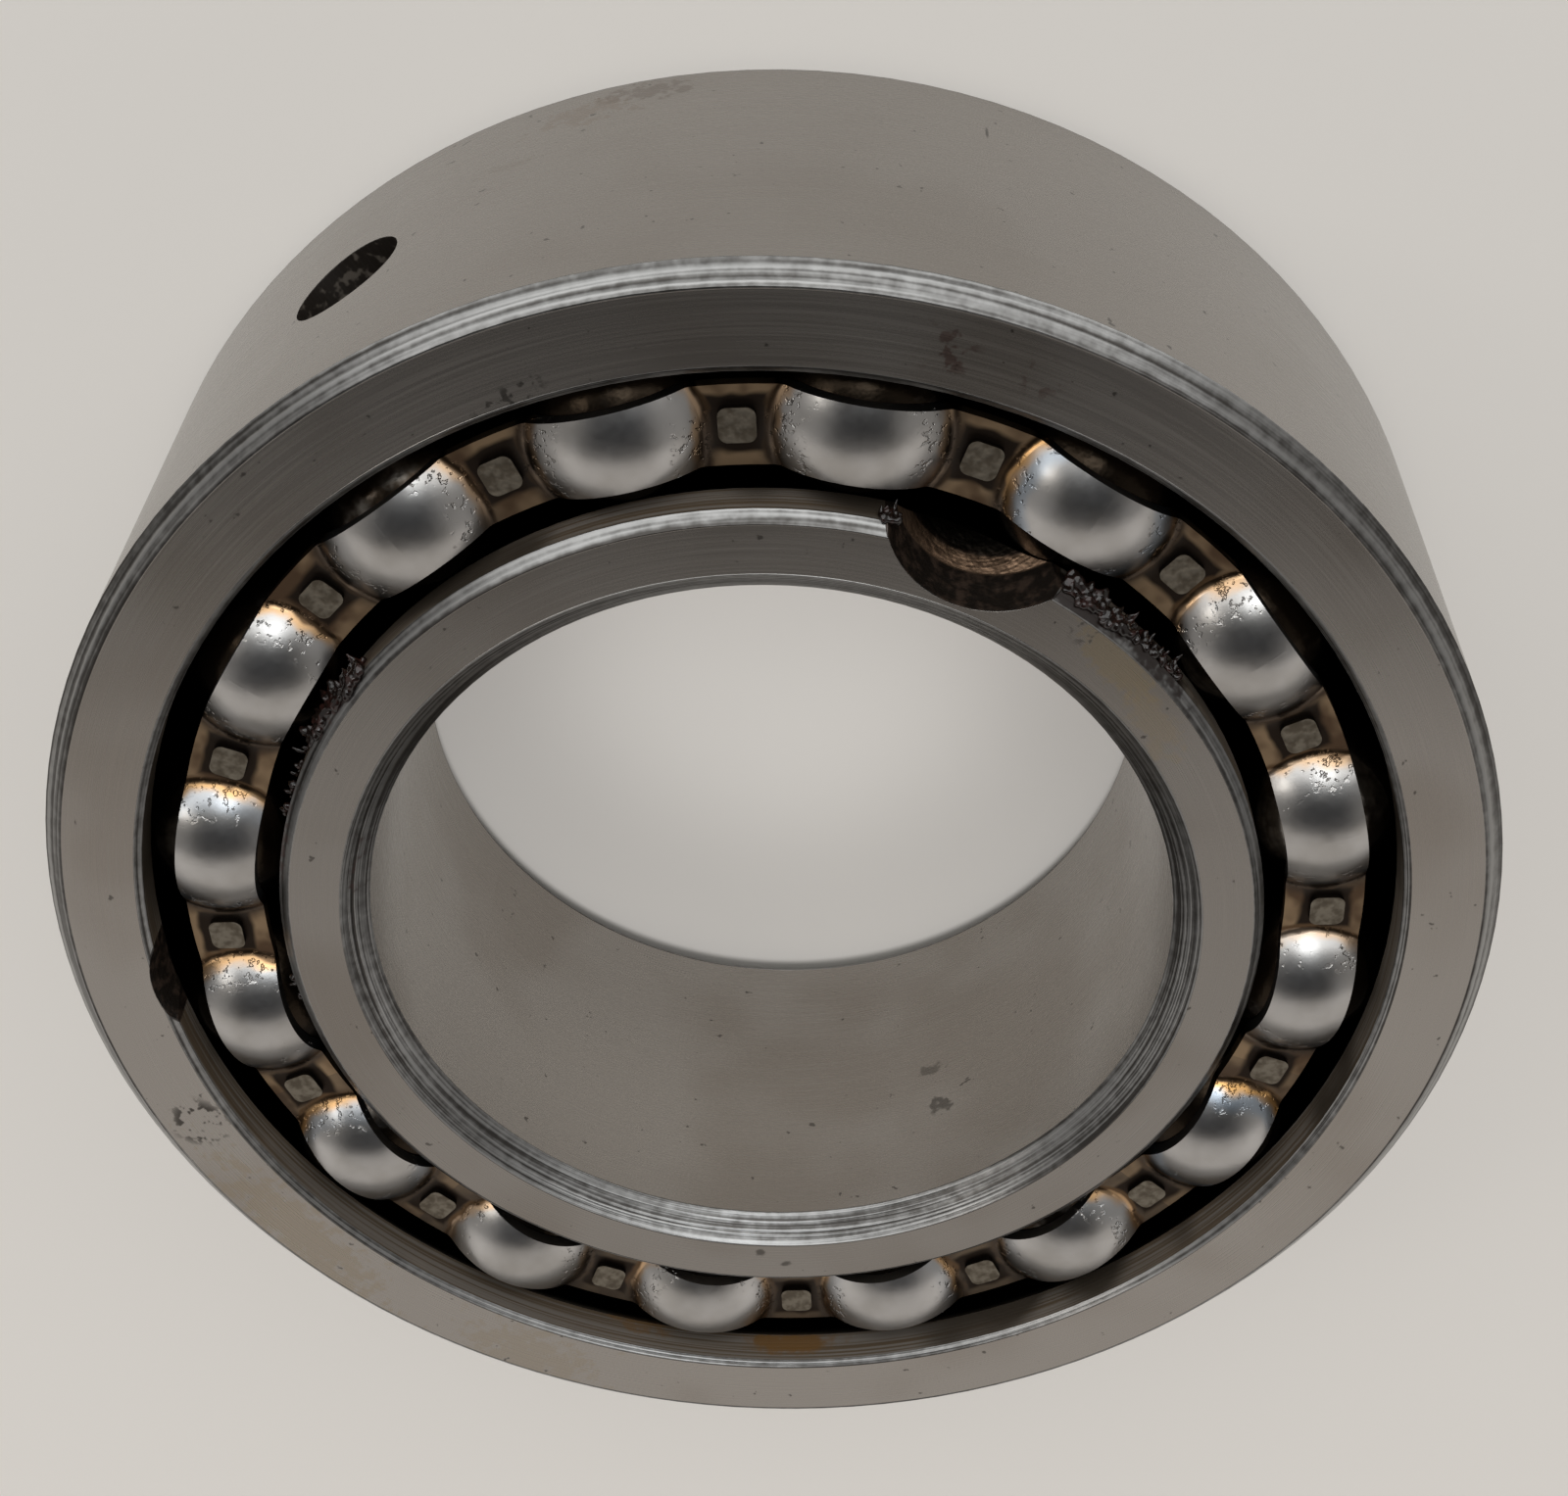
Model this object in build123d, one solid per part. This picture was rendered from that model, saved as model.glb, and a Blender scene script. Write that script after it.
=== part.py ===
from build123d import *
from math import atan2, cos, degrees, radians, sin, sqrt
import os

# Double row angular contact ball bearing.
# It lies on its plain face, with its axis on +Z and the origin at the centre of that face.
# The face with the filling slots is on top, and the hole in the outside points along -Y.
# Lengths are in millimetres and angles in degrees, counted from +X.

# Boundary sizes
bore_diameter = 95.0
outside_diameter = 170.0
width = 55.6

# Balls and rows
balls_per_row = 16
ball_diameter = 22.225
pitch_radius = 65.7
row_offset = 14.3
contact_angle = 30.0
ball_phase = 2.98

# Raceways
groove_conformity = 0.52
running_clearance = 0.1

# Shoulders beside the raceways
inner_shoulder_radius = 57.8
outer_shoulder_radius = 73.6

# Edge breaks of the rings, each as radial and axial size
outside_break = (2.1, 2.2)
bore_break = (3.0, 3.0)
inner_shoulder_break = (1.2, 1.2)
outer_shoulder_break = (0.7, 0.7)

# Filling slots, milled with one tapered cutter into the top face of each ring
slot_axis_radius = 63.0
slot_mouth_radius = 11.9
slot_wall_depth = 6.0
slot_wall_foot_radius = 10.8
slot_lip_depth = 7.5
slot_lip_radius = 9.8
slot_end_depth = 10.0
slot_end_radius = 8.0
inner_slot_angle = 214.0
outer_slot_angle = 332.8

# Blind hole in the outside
hole_diameter = 14.0
hole_depth = 7.0

# Pressed cages
sheet_thickness = 1.4
pocket_radius = 11.3
cage_inner_radius = 60.8
cage_outer_radius = 70.0
web_height = 8.4
dome_bend_radius = 1.2

# Posts between the balls
post_length = 7.0
post_width = 6.0
post_clearance_radius = 11.35
post_end_size = 4.0
post_end_corner = 1.0
post_end_rise = 0.8

ball_radius = ball_diameter / 2
groove_radius = groove_conformity * ball_diameter
groove_shift = groove_radius - ball_radius - running_clearance
ball_step = 360 / balls_per_row
web_underside = web_height - sheet_thickness
cutter_overrun = 1.0
rows = {"front": 1, "rear": -1}


def row_height(side):
    return width / 2 + side * row_offset


def around(part, phase=0.0):
    """Copies of a part, one for each ball, about the bearing's axis."""
    return [Rot(0, 0, phase + ball * ball_step) * part for ball in range(balls_per_row)]


def turned(points):
    """A solid turned about +Z from radius and height pairs."""
    return revolve(Plane.XZ * make_face(Polyline(*points, close=True)), Axis.Z)


def ring_blank(inner_radius, inner_break, outer_radius, outer_break):
    inner_radial, inner_axial = inner_break
    outer_radial, outer_axial = outer_break
    return turned([
        (inner_radius + inner_radial, 0),
        (outer_radius - outer_radial, 0),
        (outer_radius, outer_axial),
        (outer_radius, width - outer_axial),
        (outer_radius - outer_radial, width),
        (inner_radius + inner_radial, width),
        (inner_radius, width - inner_axial),
        (inner_radius, inner_axial),
    ])


def raceways(outward):
    """Both grooves of a ring. Outward is 1 for the inner ring and -1 for the outer ring.

    Each groove is a little wider than the ball, and its centre is moved along the line of
    contact, so that the ball bears at the contact angle: outboard on the inner ring and
    inboard on the outer ring, which sets the two rows back to back.
    """
    radius = pitch_radius + outward * groove_shift * cos(radians(contact_angle))
    drop = outward * groove_shift * sin(radians(contact_angle))
    groove = Torus(radius, groove_radius)
    return [Pos(0, 0, row_height(side) - side * drop) * groove for side in rows.values()]


def filling_slot(angle):
    """The cutter that opens a shoulder for the balls, tapering to a lip above the raceway."""
    taper = (slot_mouth_radius - slot_wall_foot_radius) / slot_wall_depth
    cutter = turned([
        (0, cutter_overrun),
        (slot_mouth_radius + taper * cutter_overrun, cutter_overrun),
        (slot_wall_foot_radius, -slot_wall_depth),
        (slot_lip_radius, -slot_lip_depth),
        (slot_end_radius, -slot_end_depth),
        (0, -slot_end_depth),
    ])
    return Rot(0, 0, angle) * Pos(slot_axis_radius, 0, width) * cutter


def locating_hole():
    """A flat-bottomed blind hole square to the outside, at mid width."""
    length = hole_depth + cutter_overrun
    cutter = Pos(0, 0, length / 2 - hole_depth) * Cylinder(hole_diameter / 2, length)
    return Pos(0, -outside_diameter / 2, width / 2) * Rot(90, 0, 0) * cutter


def outer_ring():
    blank = ring_blank(outer_shoulder_radius, outer_shoulder_break, outside_diameter / 2, outside_break)
    return blank - raceways(-1) - filling_slot(outer_slot_angle) - locating_hole()


def inner_ring():
    blank = ring_blank(bore_diameter / 2, bore_break, inner_shoulder_radius, inner_shoulder_break)
    return blank - raceways(1) - filling_slot(inner_slot_angle)


def dome(sphere_radius, bend_radius, base_height):
    """A cap of a sphere about the ball's centre, bent outwards at its foot to lie flat.

    The bend has the same centre for both sides of the sheet, so the sheet keeps its
    thickness from the crown to the web.
    """
    bend_height = web_height + dome_bend_radius
    bend_reach = sqrt((pocket_radius + sheet_thickness + dome_bend_radius) ** 2 - bend_height ** 2)
    foot_angle = degrees(atan2(bend_height, bend_reach))
    crown = CenterArc((0, 0), sphere_radius, foot_angle, 90 - foot_angle)
    bend = CenterArc((bend_reach, bend_height), bend_radius, 180 + foot_angle, 90 - foot_angle)
    sides = Polyline(
        (bend_reach, bend_height - bend_radius),
        (bend_reach, base_height),
        (0, base_height),
        (0, sphere_radius),
    )
    return Pos(pitch_radius, 0, 0) * revolve(Plane.XZ * make_face([crown, bend, sides]), Axis.Z)


def pressed_ring():
    """A ring of domes and flat webs, all one sheet, above the plane of the ball centres."""
    outside = dome(pocket_radius + sheet_thickness, dome_bend_radius, web_underside)
    inside = dome(pocket_radius, dome_bend_radius + sheet_thickness, web_underside - cutter_overrun)
    band_height = pocket_radius + sheet_thickness - web_underside
    band = Cylinder(cage_outer_radius, band_height) - Cylinder(cage_inner_radius, band_height)
    band = Pos(0, 0, web_underside + band_height / 2) * band
    web = turned([
        (cage_inner_radius, web_underside),
        (cage_outer_radius, web_underside),
        (cage_outer_radius, web_height),
        (cage_inner_radius, web_height),
    ])
    return ((web + around(outside, ball_phase)) & band) - around(inside, ball_phase)


def post_end(top):
    """The rounded square end of a post, from under its web to the given height."""
    section = RectangleRounded(post_end_size, post_end_size, post_end_corner)
    return Pos(pitch_radius, 0, web_underside) * extrude(section, top - web_underside)


def posts():
    """Square posts that fill the space between the balls, hollowed to clear them."""
    half_step = ball_step / 2
    space = Pos(pitch_radius, 0, 0) * Sphere(post_clearance_radius)
    balls_beside = [Rot(0, 0, turn) * space for turn in (-half_step, half_step)]
    post = Pos(pitch_radius, 0, 0) * Box(post_length, post_width, 2 * web_underside) - balls_beside
    return around(post + post_end(web_height + post_end_rise), ball_phase + half_step)


def cage_cover():
    """The half of a cage that shows, pierced for the ends of the posts."""
    return pressed_ring() - around(post_end(web_height + cutter_overrun), ball_phase + ball_step / 2)


def cage_body():
    """The hidden half of a cage, with the posts standing on its webs."""
    return mirror(pressed_ring(), Plane.XY) + posts()


def in_row(part, side):
    """A part made about the upper row's ball centres, placed in its own row."""
    facing = part if side > 0 else mirror(part, Plane.XY)
    return Pos(0, 0, row_height(side)) * facing


def all_parts():
    parts = {"outer_ring": outer_ring(), "inner_ring": inner_ring()}
    cover, body = cage_cover(), cage_body()
    for row, side in rows.items():
        parts[f"{row}_cage_cover"] = in_row(cover, side)
        parts[f"{row}_cage_body"] = in_row(body, side)
        ball = Pos(pitch_radius, 0, row_height(side)) * Sphere(ball_radius)
        for number, placed in enumerate(around(ball, ball_phase), start=1):
            parts[f"{row}_ball_{number:02d}"] = placed
    return parts


os.makedirs("parts", exist_ok=True)
for name, part in all_parts().items():
    part.label = name
    export_step(part, f"parts/{name}.step")
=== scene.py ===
# %% [markdown]
# # A double row ball bearing on a pale floor
#
# The bearing is a stack of turned, ground and pressed steel, and it lies on its plain face
# with its axis upright. Every solid comes from the imported model, so this lesson is mostly
# about the finish: ground steel that carries the lines of the wheel, pressed cages with heat
# tint round their posts, old oil in the gap, some painted shade and a few stains. Nothing is
# painted from pictures. Each finish is worked out from where a point lies on the bearing.
# The one new piece is the old grease that sits on the inner ring's edge.

# %% Load the bearing and measure it
from math import cos, pi, radians, sin

import bpy
from mathutils import Matrix, Vector


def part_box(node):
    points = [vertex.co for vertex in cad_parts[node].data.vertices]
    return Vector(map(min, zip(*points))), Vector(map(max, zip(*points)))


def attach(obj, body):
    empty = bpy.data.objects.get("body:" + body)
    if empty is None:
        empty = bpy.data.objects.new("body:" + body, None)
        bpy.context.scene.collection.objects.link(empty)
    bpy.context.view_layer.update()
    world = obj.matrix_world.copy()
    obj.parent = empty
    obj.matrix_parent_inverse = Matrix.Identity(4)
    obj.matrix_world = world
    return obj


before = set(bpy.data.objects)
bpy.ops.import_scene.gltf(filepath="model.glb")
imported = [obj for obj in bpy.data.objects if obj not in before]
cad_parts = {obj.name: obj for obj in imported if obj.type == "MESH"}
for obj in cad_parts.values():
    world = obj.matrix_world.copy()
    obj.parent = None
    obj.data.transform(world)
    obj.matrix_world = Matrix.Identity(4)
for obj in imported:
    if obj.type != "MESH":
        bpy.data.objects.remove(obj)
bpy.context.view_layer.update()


MM = 0.001
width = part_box("outer_ring")[1].z
outside_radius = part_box("outer_ring")[1].x
half_width = width / 2
diameter_mm, width_mm = round(2 * outside_radius / MM, 1), round(width / MM, 1)
print("the bearing is", diameter_mm, "mm across and", width_mm, "mm wide")

# %% [markdown]
# ## Where the photographer stood
#
# A camera could be placed by eye and nudged until the picture looks right. A bearing gives
# something better: many circles about one axis, whose outlines fix the lens, the distance
# and the tilt together. The numbers below are that solution. The bearing's face looks into
# the lens, the near side of the rim is at the top of the picture, and the camera is
# therefore rolled over, as if it looked down at the floor from the far side.

# %% Camera
PHOTO_WIDTH, PHOTO_HEIGHT = 1600, 1527
FOCAL_PIXELS = 2512.3
OPTICAL_CENTRE = (804.3, 915.8)
SENSOR = 36.0
PICTURE_TURN = radians(147.6)
TILT, YAW = radians(38.195), radians(-1.879)
FACE_FROM_LENS = Vector((-2.18, -5.80, -290.13)) * MM

camera_data = bpy.data.cameras.new("camera")
camera_data.sensor_width = SENSOR
camera_data.lens = SENSOR * FOCAL_PIXELS / PHOTO_WIDTH
camera_data.shift_x = (PHOTO_WIDTH / 2 - OPTICAL_CENTRE[0]) / PHOTO_WIDTH
camera_data.shift_y = (OPTICAL_CENTRE[1] - PHOTO_HEIGHT / 2) / PHOTO_WIDTH
camera_data.clip_start, camera_data.clip_end = 0.01, 20.0
camera = bpy.data.objects.new("camera", camera_data)
bpy.context.scene.collection.objects.link(camera)
bpy.context.scene.camera = camera

turn_to_picture = Matrix.Rotation(-PICTURE_TURN, 3, "Z")
yaw, tilt = Matrix.Rotation(YAW, 3, "Y"), Matrix.Rotation(TILT, 3, "X")
picture_from_bearing = yaw @ tilt @ turn_to_picture
bearing_from_picture = picture_from_bearing.transposed()
front_face = Vector((0, 0, width))
camera_place = front_face - bearing_from_picture @ FACE_FROM_LENS
camera.matrix_world = Matrix.Translation(camera_place) @ bearing_from_picture.to_4x4()
print("the camera stands", round(FACE_FROM_LENS.length / MM), "mm from the face")

# %% [markdown]
# ## Tools for node trees
#
# Both the room and the finishes are node trees. Wiring nodes one by one makes long scripts,
# so a few small helpers come first: they add a node, do a sum, lay a colour over another by
# a mask, and turn a measure into a mask with a soft edge.

# %% Node helpers


def feed(tree, socket, value):
    """Link another node's output to a socket, or set a plain value on it."""
    if isinstance(value, bpy.types.NodeSocket):
        tree.links.new(value, socket)
    else:
        socket.default_value = value


def node(tree, kind, inputs=None, **settings):
    """A new node with its settings, and its inputs fed by name or number."""
    made = tree.nodes.new(kind)
    for name, value in settings.items():
        setattr(made, name, value)
    for name, value in (inputs or {}).items():
        feed(tree, made.inputs[name], value)
    return made


def sum_of(tree, operation, *values):
    """The result of one sum, whose operation is named as Blender names it."""
    step = node(tree, "ShaderNodeMath", operation=operation)
    for socket, value in zip(step.inputs, values):
        feed(tree, socket, value)
    return step.outputs[0]


def product(tree, *values):
    result = values[0]
    for value in values[1:]:
        result = sum_of(tree, "MULTIPLY", result, value)
    return result


def most_of(tree, *masks):
    result = masks[0]
    for mask in masks[1:]:
        result = sum_of(tree, "MAXIMUM", result, mask)
    return result


def without(tree, mask):
    """The other side of a mask: 1 where it is 0, and 0 where it is 1."""
    return sum_of(tree, "SUBTRACT", 1.0, mask)


def lay_over(tree, mask, under, over):
    """The colour under, with the colour over it as far as the mask says."""
    step = node(tree, "ShaderNodeMix", data_type="RGBA")
    for place, value in ((0, mask), (6, under), (7, over)):
        feed(tree, step.inputs[place], value)
    return step.outputs[2]


def fade(tree, value, start, end):
    """0 where a value is at its start and 1 at its end, with a smooth step between."""
    limits = {"Value": value, "From Min": start, "From Max": end}
    step = node(tree, "ShaderNodeMapRange", limits, interpolation_type="SMOOTHSTEP")
    return step.outputs["Result"]


def band(tree, value, low, high, soft):
    """1 where a value lies between low and high, fading out over the soft width."""
    rising = fade(tree, value, low - soft, low + soft)
    return product(tree, rising, fade(tree, value, high + soft, high - soft))


# %% [markdown]
# ## Floor and light
#
# Ground steel has hardly any colour of its own: it shows what stands around it. Small lamps
# alone would give hard sparks on black, so the bearing lies in a dim room under a wide soft
# panel that hangs 0.3 m above its face, on the picture's lower side. The faces and the domes
# mirror that panel. Because it ends before it is over the bearing, the far side of the ring
# looks past its edge into the dim room and turns dark, as in the photo. A panel on the upper
# side gives the corner breaks their shine, and two lamps give the sparks on the domes. The
# floor glows a little, as a light table does, and a narrow lamp shines down through the
# bore, so that the bore isn't a dark well.

# %% Floor
FLOOR_SIZE = 6.0
PAPER = (0.46, 0.44, 0.41, 1)
PAPER_GLOW = (0.30, 0.287, 0.272, 1)

bpy.ops.object.select_all(action="DESELECT")
bpy.ops.mesh.primitive_plane_add(size=FLOOR_SIZE, location=(0, 0, 0))
floor = bpy.context.object
floor.name = "floor"
paper = bpy.data.materials.new("floor_paper")
paper.use_nodes = True
shader = paper.node_tree.nodes["Principled BSDF"]
shader.inputs["Base Color"].default_value = PAPER
shader.inputs["Roughness"].default_value = 0.8
shader.inputs["Emission Strength"].default_value = 1.0
floor.data.materials.append(paper)
print("the floor is", FLOOR_SIZE, "m square")

# %% Soft panels and lamps
LOW_EDGE, LOW_FAR, LOW_HEIGHT = -0.145, -0.75, 0.30
BORE_LAMP_ANGLE, BORE_LAMP_ENERGY = radians(5.4), 9.0


def in_picture(right, up, out):
    """A point given by how far it is to the picture's right, up the face and out of it."""
    return Matrix.Rotation(PICTURE_TURN, 3, "Z") @ Vector((right, up, out)) + front_face


def soft_panel(name, place, size, brightness, colour, target=(0, 0, 0)):
    """A rectangular lamp in the picture's directions, as bright as asked at any distance."""
    data = bpy.data.lights.new(name, "AREA")
    data.shape = "RECTANGLE"
    data.size, data.size_y = size
    data.energy, data.color = brightness * pi * size[0] * size[1], colour
    panel = bpy.data.objects.new(name, data)
    bpy.context.scene.collection.objects.link(panel)
    panel.location = in_picture(*place)
    towards = in_picture(*target) - panel.location
    sideways = in_picture(1, 0, 0) - front_face
    upward = sideways.cross(towards).normalized()
    axes = Matrix((sideways, upward, -towards.normalized())).transposed()
    panel.rotation_euler = axes.to_euler()
    panel.visible_camera = False


soft_panel("upper_panel", (0, 1.10, 0.74), (2.8, 1.0), 1.5, (0.99, 1.0, 1.0))
soft_panel("warm_lamp", (-0.80, 0.45, 0.86), (0.30, 0.22), 5.0, (1.0, 0.96, 0.90))
soft_panel("cool_lamp", (0.10, 0.66, 0.86), (0.34, 0.22), 4.0, (0.93, 0.97, 1.0))
low_middle = (LOW_EDGE + LOW_FAR) / 2
low_size = (1.3, LOW_EDGE - LOW_FAR)
low_place, below_it = (0, low_middle, LOW_HEIGHT), (0, low_middle, 0)
soft_panel("low_panel", low_place, low_size, 0.54, (1.0, 0.95, 0.90), target=below_it)

bore_lamp = bpy.data.objects.new("bore_lamp", bpy.data.lights.new("bore_lamp", "SPOT"))
bpy.context.scene.collection.objects.link(bore_lamp)
bore_lamp.location = in_picture(0, 0.006, 0.80)
bore_lamp.data.spot_size, bore_lamp.data.spot_blend = BORE_LAMP_ANGLE, 1.0
bore_lamp.data.energy, bore_lamp.data.shadow_soft_size = BORE_LAMP_ENERGY, 0.01
print("the low panel ends", round(-LOW_EDGE / MM), "mm below the axis in the picture")

# %% [markdown]
# ## The room
#
# What the steel mirrors beside the panels is the room. It could be walls with pictures on
# them, but only its broad shades matter, so it is a world colour that changes with the
# direction: dark overhead, and paler up, down and to the sides of the picture.

# %% Room
ROOM = (
    # how far up the picture a direction points, and the room's colour there
    (-0.90, (0.20, 0.19, 0.18)),
    (-0.45, (0.10, 0.097, 0.094)),
    (-0.25, (0.022, 0.024, 0.028)),
    (0.20, (0.018, 0.020, 0.025)),
    (0.40, (0.14, 0.145, 0.15)),
    (0.70, (0.55, 0.55, 0.545)),
)
ROOM_SIDES = (0.36, 0.35, 0.34, 1)
SIDES_START, SIDES_END = 0.35, 0.72

world = bpy.data.worlds.new("dim_room")
world.use_nodes = True
tree = world.node_tree
direction = node(tree, "ShaderNodeTexCoord").outputs["Generated"]


def share_along(axis):
    """How far the world's direction points along one of the picture's axes, from -1 to 1."""
    inputs = {0: direction, 1: axis - front_face}
    return node(tree, "ShaderNodeVectorMath", inputs, operation="DOT_PRODUCT").outputs["Value"]


ramp_place = sum_of(tree, "MULTIPLY_ADD", share_along(in_picture(0, 1, 0)), 0.5, 0.5)
ramp = node(tree, "ShaderNodeValToRGB", {"Fac": ramp_place})
stops = ramp.color_ramp.elements
while len(stops) < len(ROOM):
    stops.new(0.5)
for stop, (up, colour) in zip(stops, ROOM):
    stop.position = 0.5 + up / 2
    stop.color = [*colour, 1]
sideways = sum_of(tree, "ABSOLUTE", share_along(in_picture(1, 0, 0)))
at_sides = fade(tree, sideways, SIDES_START, SIDES_END)
shade = lay_over(tree, at_sides, ramp.outputs["Color"], ROOM_SIDES)
feed(tree, tree.nodes["Background"].inputs["Color"], shade)
bpy.context.scene.world = world
bpy.context.scene.view_settings.view_transform = "Standard"
print("the room has", len(ROOM), "shades up the picture and one at the sides")

# %% [markdown]
# ## Where am I on the bearing?
#
# Everything here was made by turning, so the useful coordinates are radius, angle and height
# rather than X, Y and Z. One shader node group works them out from the object's own
# coordinates, and every finish starts from it. Reach is the distance from the middle plane,
# which makes one rule serve the front and the rear. The angle is also given as its sine and
# cosine, because a pattern made from the bare angle would show a seam where 360 degrees
# meet zero.

# %% Group: place on the bearing


def new_group(name, inputs, outputs):
    """A node group with named sockets. Inputs are name and default, and Point is a vector."""
    tree = bpy.data.node_groups.new(name, "ShaderNodeTree")
    for socket_name, default in inputs.items():
        kind = "NodeSocketFloat" if isinstance(default, (int, float)) else "NodeSocketVector"
        socket = tree.interface.new_socket(socket_name, in_out="INPUT", socket_type=kind)
        socket.default_value = default
    for socket_name in outputs:
        kind = "NodeSocketVector" if socket_name == "Point" else "NodeSocketFloat"
        tree.interface.new_socket(socket_name, in_out="OUTPUT", socket_type=kind)
    given = tree.nodes.new("NodeGroupInput").outputs
    return tree, given, tree.nodes.new("NodeGroupOutput").inputs


def use(tree, group, inputs=None):
    """A node group placed in a tree with its own values."""
    step = node(tree, "ShaderNodeGroup", node_tree=group)
    for name, value in (inputs or {}).items():
        feed(tree, step.inputs[name], value)
    return step.outputs


PLACE_OUTPUTS = ("Radius", "Angle", "Height", "Reach", "Cosine", "Sine", "Point")
PLACE, given, made = new_group("place_on_bearing", {}, PLACE_OUTPUTS)
point = node(PLACE, "ShaderNodeTexCoord").outputs["Object"]
split = node(PLACE, "ShaderNodeSeparateXYZ", {"Vector": point}).outputs
squares = [product(PLACE, split[axis], split[axis]) for axis in "XY"]
radius = sum_of(PLACE, "SQRT", sum_of(PLACE, "ADD", *squares))
for name, value in {
    "Radius": radius,
    "Angle": sum_of(PLACE, "ARCTAN2", split["Y"], split["X"]),
    "Height": split["Z"],
    "Reach": sum_of(PLACE, "ABSOLUTE", sum_of(PLACE, "SUBTRACT", split["Z"], half_width)),
    "Cosine": sum_of(PLACE, "DIVIDE", split["X"], radius),
    "Sine": sum_of(PLACE, "DIVIDE", split["Y"], radius),
    "Point": point,
}.items():
    feed(PLACE, made[name], value)
print("made", PLACE.name)

# %% [markdown]
# ## Lines of the wheel and the lathe
#
# Wheel and lathe leave lines that run round the axis. They could be rings of a wave texture,
# but real lines have uneven depth and fade out along the way. So a noise is read in
# stretched coordinates: fast across the lines, slow along them. Radius and height are added
# into one measure, so that faces, cylinders and corner breaks all get lines. Many lines per
# metre give the grain of a ground face, and few give the ridges that a lathe tool leaves.

# %% Group: turned lines
TURNED_LINES, given, made = new_group(
    "turned_lines", {"Lines per metre": 4000.0, "Height share": 1.2, "Wander": 2.0}, ("Lines",)
)
place = use(TURNED_LINES, PLACE)
height, share = place["Height"], given["Height share"]
across = sum_of(TURNED_LINES, "MULTIPLY_ADD", height, share, place["Radius"])
stretched = {
    "X": product(TURNED_LINES, across, given["Lines per metre"]),
    "Y": product(TURNED_LINES, place["Cosine"], given["Wander"]),
    "Z": product(TURNED_LINES, place["Sine"], given["Wander"]),
}
reading = {
    "Vector": node(TURNED_LINES, "ShaderNodeCombineXYZ", stretched).outputs[0],
    "Scale": 1.0,
    "Detail": 1.0,
}
noise = node(TURNED_LINES, "ShaderNodeTexNoise", reading)
feed(TURNED_LINES, made["Lines"], noise.outputs["Fac"])
print("made", TURNED_LINES.name)

# %% [markdown]
# ## Clouds and patches
#
# Clouds are the faint differences that handling and thin oil leave, and at a small scale
# they are the grain of a rough surface. Only the highest peaks of that grain are dark pits.
# A patch is one stain at a known place, with a ragged edge. Stains could be painted by hand
# on an unwrapped mesh, but a patch needs no unwrapping and can be moved by its numbers. Each
# material makes its small clouds once and lends them to all its patches, which keeps renders
# quick.

# %% Groups: clouds and patch
CLOUDS, given, made = new_group("clouds", {"Scale": 40.0}, ("Clouds",))
reading = {
    "Vector": use(CLOUDS, PLACE)["Point"],
    "Scale": given["Scale"],
    "Detail": 2.0,
    "Roughness": 0.6,
}
feed(CLOUDS, made["Clouds"], node(CLOUDS, "ShaderNodeTexNoise", reading).outputs["Fac"])

PATCH_INPUTS = {
    "Centre": (0.0, 0.0, 0.0),
    "Size": (0.01, 0.01, 0.01),
    "Clouds": 0.5,
    "Ragged": 2.0,
}
PATCH_EDGE = (1.15, 0.55)
PATCH, given, made = new_group("patch", PATCH_INPUTS, ("Patch",))
vector = "ShaderNodeVectorMath"
point = use(PATCH, PLACE)["Point"]
away = node(PATCH, vector, {0: point, 1: given["Centre"]}, operation="SUBTRACT")
scaled = node(PATCH, vector, {0: away.outputs[0], 1: given["Size"]}, operation="DIVIDE")
length = node(PATCH, vector, {0: scaled.outputs[0]}, operation="LENGTH").outputs["Value"]
shift = product(PATCH, sum_of(PATCH, "SUBTRACT", given["Clouds"], 0.5), given["Ragged"])
feed(PATCH, made["Patch"], fade(PATCH, sum_of(PATCH, "ADD", length, shift), *PATCH_EDGE))
print("made", CLOUDS.name, "and", PATCH.name)

# %% [markdown]
# ## The floor under the bearing
#
# The floor's glow would shine up through the small gaps between the balls, where a real
# bearing shows only black. A dark disc under the bearing would hide it, but would also be
# one more thing to see. So the glow stops in the ring-shaped place that the bearing covers,
# and the paper itself stays the same.

# %% Floor glow
BORE_RADIUS = 47.5 * MM
NO_GLOW = (0, 0, 0, 1)

tree = paper.node_tree
radius = use(tree, PLACE)["Radius"]
covered = band(tree, radius, BORE_RADIUS + 1.0 * MM, outside_radius - 1.5 * MM, 0.7 * MM)
glow = lay_over(tree, covered, PAPER_GLOW, NO_GLOW)
feed(tree, tree.nodes["Principled BSDF"].inputs["Emission Color"], glow)
print("the glow stops under the bearing")

# %% [markdown]
# ## Starting a material
#
# Every steel starts as bare metal. The shader stays in the material, and only its colour,
# roughness, metalness and normal are driven. Heights for the bump are true heights in
# metres, so a scratch two thousandths of a millimetre deep is written as such.

# %% Material starter


def start_material(name, metallic=1.0):
    """A new material, with its node tree and its shader."""
    material = bpy.data.materials.new(name)
    material.use_nodes = True
    shader = material.node_tree.nodes["Principled BSDF"]
    shader.inputs["Metallic"].default_value = metallic
    return material, material.node_tree, shader


def relief(tree, shader, *heights):
    """One bump from several heights, each a pattern and how tall it is in metres."""
    total = 0.0
    for pattern, tall in heights:
        total = sum_of(tree, "MULTIPLY_ADD", pattern, tall, total)
    bump = node(tree, "ShaderNodeBump", {"Height": total, "Strength": 1.0, "Distance": 1.0})
    feed(tree, shader.inputs["Normal"], bump.outputs["Normal"])


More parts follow.
